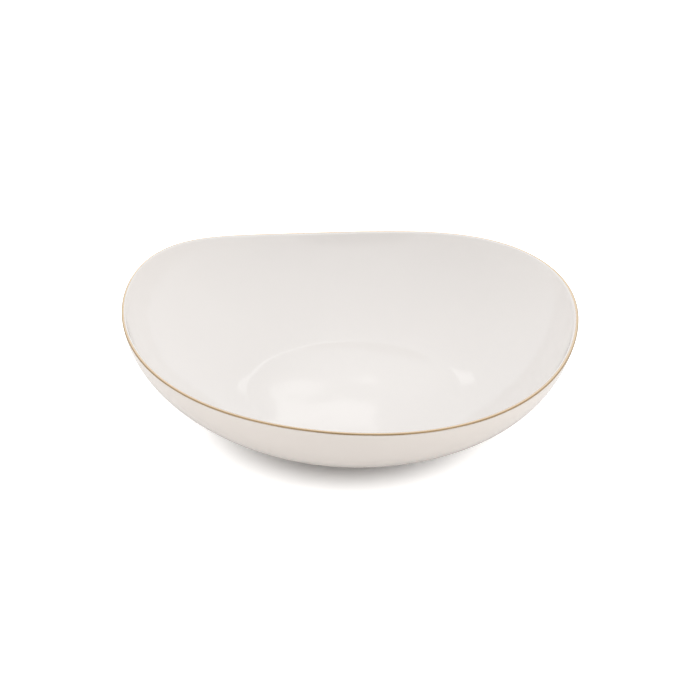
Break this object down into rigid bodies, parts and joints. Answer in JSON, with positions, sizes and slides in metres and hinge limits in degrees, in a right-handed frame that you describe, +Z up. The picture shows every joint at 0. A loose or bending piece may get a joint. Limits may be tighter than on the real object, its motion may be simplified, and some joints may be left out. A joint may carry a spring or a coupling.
{
  "type": "serving bowl",
  "caption": "Wide round porcelain serving bowl with a freely waved rim, clear gloss glaze, a thin gilded lip and a low hidden foot ring.",
  "frame": {"origin": "centre of the foot ring, on the surface that the bowl stands on", "axes": "+Z up out of the open bowl; +X to the right and +Y away from someone who looks at the low side of the rim"},
  "size_m": [0.2945, 0.3027, 0.0735],
  "materials": {
    "glazed_porcelain": "gloss",
    "gilding": "gilded",
    "bare_porcelain": "matte"
  },
  "bodies": {
    "root": {"glazed_bowl": "glazed_porcelain", "gilded_lip": "gilding", "foot_ring": "bare_porcelain"}
  },
  "joints": []
}
